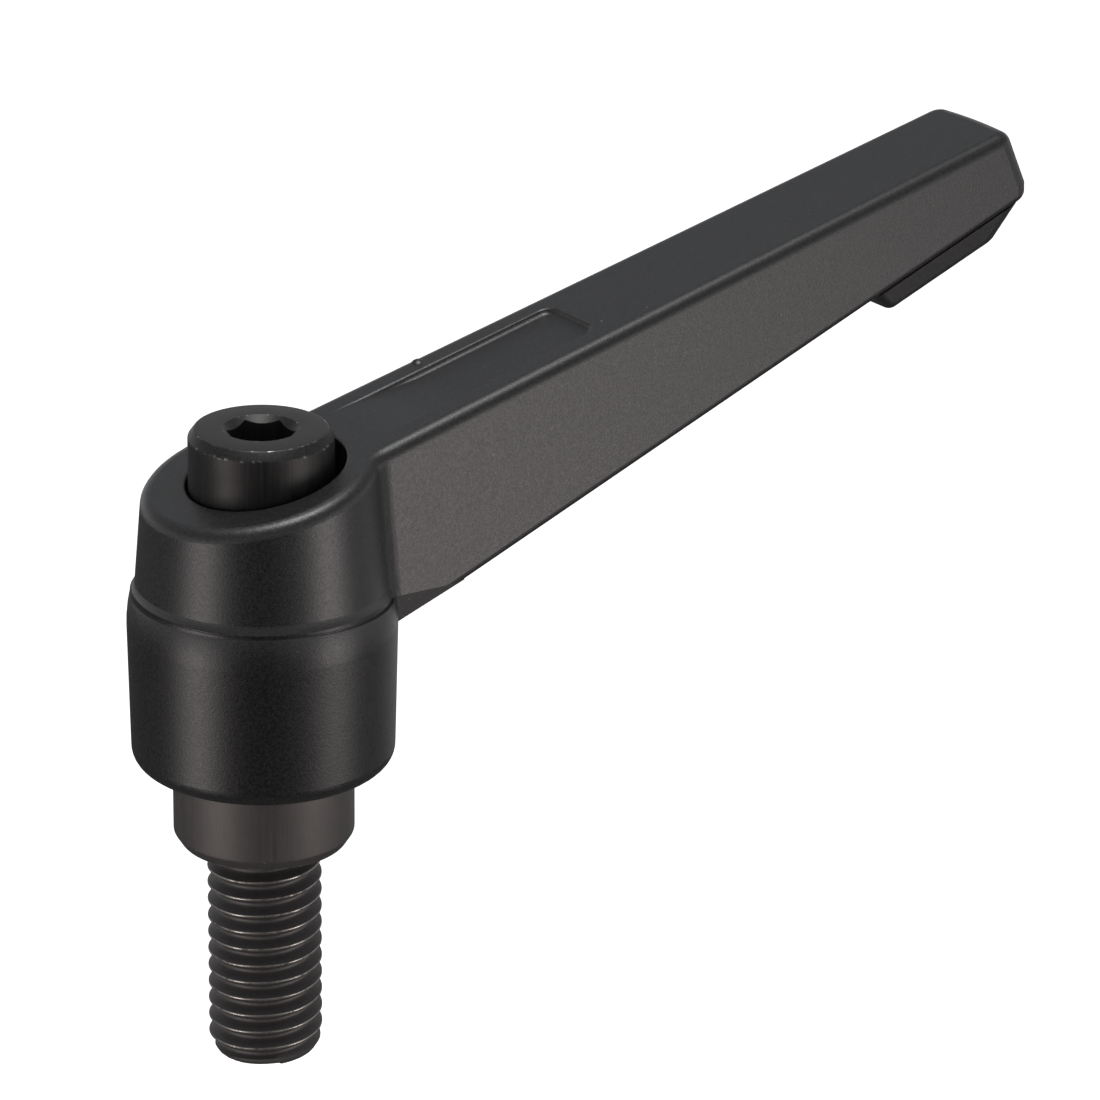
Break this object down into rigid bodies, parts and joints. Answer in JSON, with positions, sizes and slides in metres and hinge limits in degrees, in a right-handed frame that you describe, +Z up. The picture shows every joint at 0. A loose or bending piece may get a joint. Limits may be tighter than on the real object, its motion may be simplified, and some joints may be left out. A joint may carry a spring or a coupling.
{
  "type": "adjustable clamping lever",
  "caption": "Adjustable clamping lever: black die-cast lever on a splined steel insert with a threaded stud, held by a socket head screw and a spring.",
  "frame": {"origin": "centre of the collar's seating face, where the stud begins", "axes": "+Z up along the stud's axis towards the screw head, +X along the arm, which rises as it leaves the hub"},
  "size_m": [0.0721, 0.0182, 0.056],
  "materials": {
    "coated_casting": "satin black powder coat on die-cast zinc",
    "black_steel": "black oxide on turned steel",
    "spring_steel": "bright drawn wire"
  },
  "bodies": {
    "fixed": {"stud_insert": "black_steel", "retaining_screw": "black_steel"},
    "turning": {"return_spring": "spring_steel"},
    "lever": {"lever_body": "coated_casting"}
  },
  "joints": [
    {"name": "lever_index", "type": "hinge", "parent": "fixed", "child": "turning", "pos_m": [0, 0, 0], "axis": [0, 0, 1], "continuous": true},
    {"name": "lever_lift", "type": "slide", "parent": "turning", "child": "lever", "axis": [0, 0, 1], "range_m": [0, 0.0042], "stiffness_N_per_m": 2400, "springref_m": -0.003, "deforming": ["return_spring"]}
  ]
}
